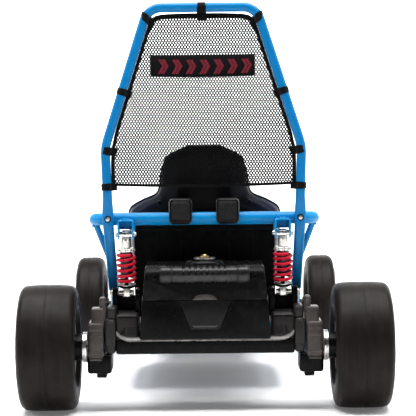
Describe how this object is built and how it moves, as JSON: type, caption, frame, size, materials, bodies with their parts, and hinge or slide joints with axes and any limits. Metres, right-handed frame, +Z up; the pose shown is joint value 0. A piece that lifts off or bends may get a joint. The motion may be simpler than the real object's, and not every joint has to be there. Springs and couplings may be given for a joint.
{
  "type": "kart chassis",
  "caption": "Small electric kart with a tube frame, roll hoop with net, bucket seat, sprung rear swing arm and steered front wheels.",
  "frame": {"origin": "on the floor, at the middle of the kart's length and width", "axes": "+Y forward, +X to the kart's right, +Z up"},
  "size_m": [0.78, 1.1999, 0.858],
  "materials": {
    "frame_paint": "gloss powder coat, bright blue",
    "black_plastic": "fine-textured moulded plastic",
    "grey_plastic": "satin charcoal plastic",
    "seat_plastic": "satin moulded seat shell, black turning navy",
    "tyre": "smooth slick rubber",
    "spring_red": "gloss red spring coat",
    "steel": "zinc plated",
    "black_metal": "satin black paint",
    "brass": "polished",
    "net_fabric": "woven mesh",
    "battery_wrap": "shrink wrap"
  },
  "bodies": {
    "frame": {"floor_frame": "frame_paint", "floor_pan": "black_plastic", "upper_rail": "frame_paint", "rear_upright_left": "frame_paint", "rear_upright_right": "frame_paint", "front_strut_left": "frame_paint", "front_strut_right": "frame_paint", "roll_hoop": "frame_paint", "hoop_bolt_left": "steel", "hoop_bolt_right": "steel", "shock_bracket_left": "frame_paint", "shock_bracket_right": "frame_paint", "front_beam": "black_metal", "front_bumper": "frame_paint", "pivot_tube": "steel", "net_panel": "net_fabric", "seat_shell": "seat_plastic", "seat_clip_left": "grey_plastic", "seat_clip_right": "grey_plastic", "bulkhead": "black_plastic", "nose_cover": "black_plastic", "steering_bush": "black_plastic", "pedal_rod": "steel"},
    "rear_arm": {"swing_arm": "black_plastic", "housing": "black_plastic", "ribbed_roll": "black_plastic", "controller": "steel", "top_stud": "brass", "gearbox_left": "grey_plastic", "gearbox_right": "grey_plastic", "motor_left": "steel", "motor_right": "steel"},
    "drawer": {"battery_drawer": "black_plastic", "battery_pack": "battery_wrap"},
    "latch": {"drawer_latch": "black_plastic"},
    "steering": {"steering_column": "steel", "steering_wheel": "black_plastic"},
    "power_button": {"power_button": "spring_red"},
    "brake": {"brake_pedal": "black_plastic"},
    "throttle": {"throttle_pedal": "black_plastic"},
    "rear_wheel_left": {"rear_left_tyre": "tyre", "rear_left_rim": "grey_plastic", "drive_flange_left": "steel"},
    "knuckle_left": {"knuckle_left": "grey_plastic"},
    "front_wheel_left": {"front_left_tyre": "tyre", "front_left_rim": "grey_plastic"},
    "tie_rod_left": {"tie_rod_left": "steel"},
    "shock_upper_left": {"shock_body_left": "steel", "spring_left": "spring_red"},
    "shock_lower_left": {"shock_rod_left": "steel"},
    "rear_wheel_right": {"rear_right_tyre": "tyre", "rear_right_rim": "grey_plastic", "drive_flange_right": "steel"},
    "knuckle_right": {"knuckle_right": "grey_plastic"},
    "front_wheel_right": {"front_right_tyre": "tyre", "front_right_rim": "grey_plastic"},
    "tie_rod_right": {"tie_rod_right": "steel"},
    "shock_upper_right": {"shock_body_right": "steel", "spring_right": "spring_red"},
    "shock_lower_right": {"shock_rod_right": "steel"}
  },
  "joints": [
    {"name": "arm_swing", "type": "hinge", "parent": "frame", "child": "rear_arm", "pos_m": [0, -0.25, 0.168], "axis": [-1, 0, 0], "range_deg": [0, 6], "stiffness_Nm_per_rad": 500, "springref_deg": -3.44, "deforming": ["spring_left", "spring_right"]},
    {"name": "drawer_slide", "type": "slide", "parent": "rear_arm", "child": "drawer", "axis": [0, -1, 0], "range_m": [0, 0.13]},
    {"name": "latch_tip", "type": "hinge", "parent": "drawer", "child": "latch", "pos_m": [0, -0.535, 0.1767], "axis": [1, 0, 0], "range_deg": [0, 14], "stiffness_Nm_per_rad": 0.3, "springref_deg": -2.86},
    {"name": "steer", "type": "hinge", "parent": "frame", "child": "steering", "pos_m": [0, 0.335, 0.153], "axis": [0, -0.5029, 0.8643], "range_deg": [-50, 50]},
    {"name": "button_press", "type": "slide", "parent": "frame", "child": "power_button", "axis": [0, 0.5029, -0.8643], "range_m": [0, 0.002], "stiffness_N_per_m": 300, "springref_m": -0.0005},
    {"name": "brake_press", "type": "hinge", "parent": "frame", "child": "brake", "pos_m": [-0.062, 0.44, 0.22], "axis": [1, 0, 0], "range_deg": [0, 20], "stiffness_Nm_per_rad": 1, "springref_deg": -11.46},
    {"name": "throttle_press", "type": "hinge", "parent": "frame", "child": "throttle", "pos_m": [0.062, 0.44, 0.22], "axis": [1, 0, 0], "range_deg": [0, 20], "stiffness_Nm_per_rad": 1, "springref_deg": -11.46},
    {"name": "rear_spin_left", "type": "hinge", "parent": "rear_arm", "child": "rear_wheel_left", "pos_m": [-0.33, -0.467, 0.133], "axis": [1, 0, 0], "continuous": true},
    {"name": "knuckle_turn_left", "type": "hinge", "parent": "frame", "child": "knuckle_left", "pos_m": [-0.235, 0.383, 0.13], "axis": [0, 0, 1], "range_deg": [-25, 25]},
    {"name": "front_spin_left", "type": "hinge", "parent": "knuckle_left", "child": "front_wheel_left", "pos_m": [-0.3, 0.383, 0.13], "axis": [1, 0, 0], "continuous": true},
    {"name": "tie_rod_turn_left", "type": "hinge", "parent": "knuckle_left", "child": "tie_rod_left", "pos_m": [-0.232, 0.305, 0.1215], "axis": [0, 0, 1], "range_deg": [-25, 25]},
    {"name": "shock_top_left", "type": "hinge", "parent": "frame", "child": "shock_upper_left", "pos_m": [-0.166, -0.461, 0.3715], "axis": [-1, 0, 0], "range_deg": [-7, 1]},
    {"name": "shock_foot_left", "type": "hinge", "parent": "rear_arm", "child": "shock_lower_left", "pos_m": [-0.166, -0.447, 0.246], "axis": [-1, 0, 0], "range_deg": [-13, 1]},
    {"name": "rear_spin_right", "type": "hinge", "parent": "rear_arm", "child": "rear_wheel_right", "pos_m": [0.33, -0.467, 0.133], "axis": [1, 0, 0], "continuous": true},
    {"name": "knuckle_turn_right", "type": "hinge", "parent": "frame", "child": "knuckle_right", "pos_m": [0.235, 0.383, 0.13], "axis": [0, 0, 1], "range_deg": [-25, 25]},
    {"name": "front_spin_right", "type": "hinge", "parent": "knuckle_right", "child": "front_wheel_right", "pos_m": [0.3, 0.383, 0.13], "axis": [1, 0, 0], "continuous": true},
    {"name": "tie_rod_turn_right", "type": "hinge", "parent": "knuckle_right", "child": "tie_rod_right", "pos_m": [0.232, 0.305, 0.1215], "axis": [0, 0, 1], "range_deg": [-25, 25]},
    {"name": "shock_top_right", "type": "hinge", "parent": "frame", "child": "shock_upper_right", "pos_m": [0.166, -0.461, 0.3715], "axis": [-1, 0, 0], "range_deg": [-7, 1]},
    {"name": "shock_foot_right", "type": "hinge", "parent": "rear_arm", "child": "shock_lower_right", "pos_m": [0.166, -0.447, 0.246], "axis": [-1, 0, 0], "range_deg": [-13, 1]}
  ],
  "couplings": [
    {"joint": "knuckle_turn_left", "follows": "steer", "ratio": 0.5},
    {"joint": "tie_rod_turn_left", "follows": "steer", "ratio": -0.5},
    {"joint": "shock_top_left", "follows": "arm_swing", "ratio": -1.0121},
    {"joint": "shock_foot_left", "follows": "arm_swing", "ratio": -2.0121},
    {"joint": "knuckle_turn_right", "follows": "steer", "ratio": 0.5},
    {"joint": "tie_rod_turn_right", "follows": "steer", "ratio": -0.5},
    {"joint": "shock_top_right", "follows": "arm_swing", "ratio": -1.0121},
    {"joint": "shock_foot_right", "follows": "arm_swing", "ratio": -2.0121}
  ]
}
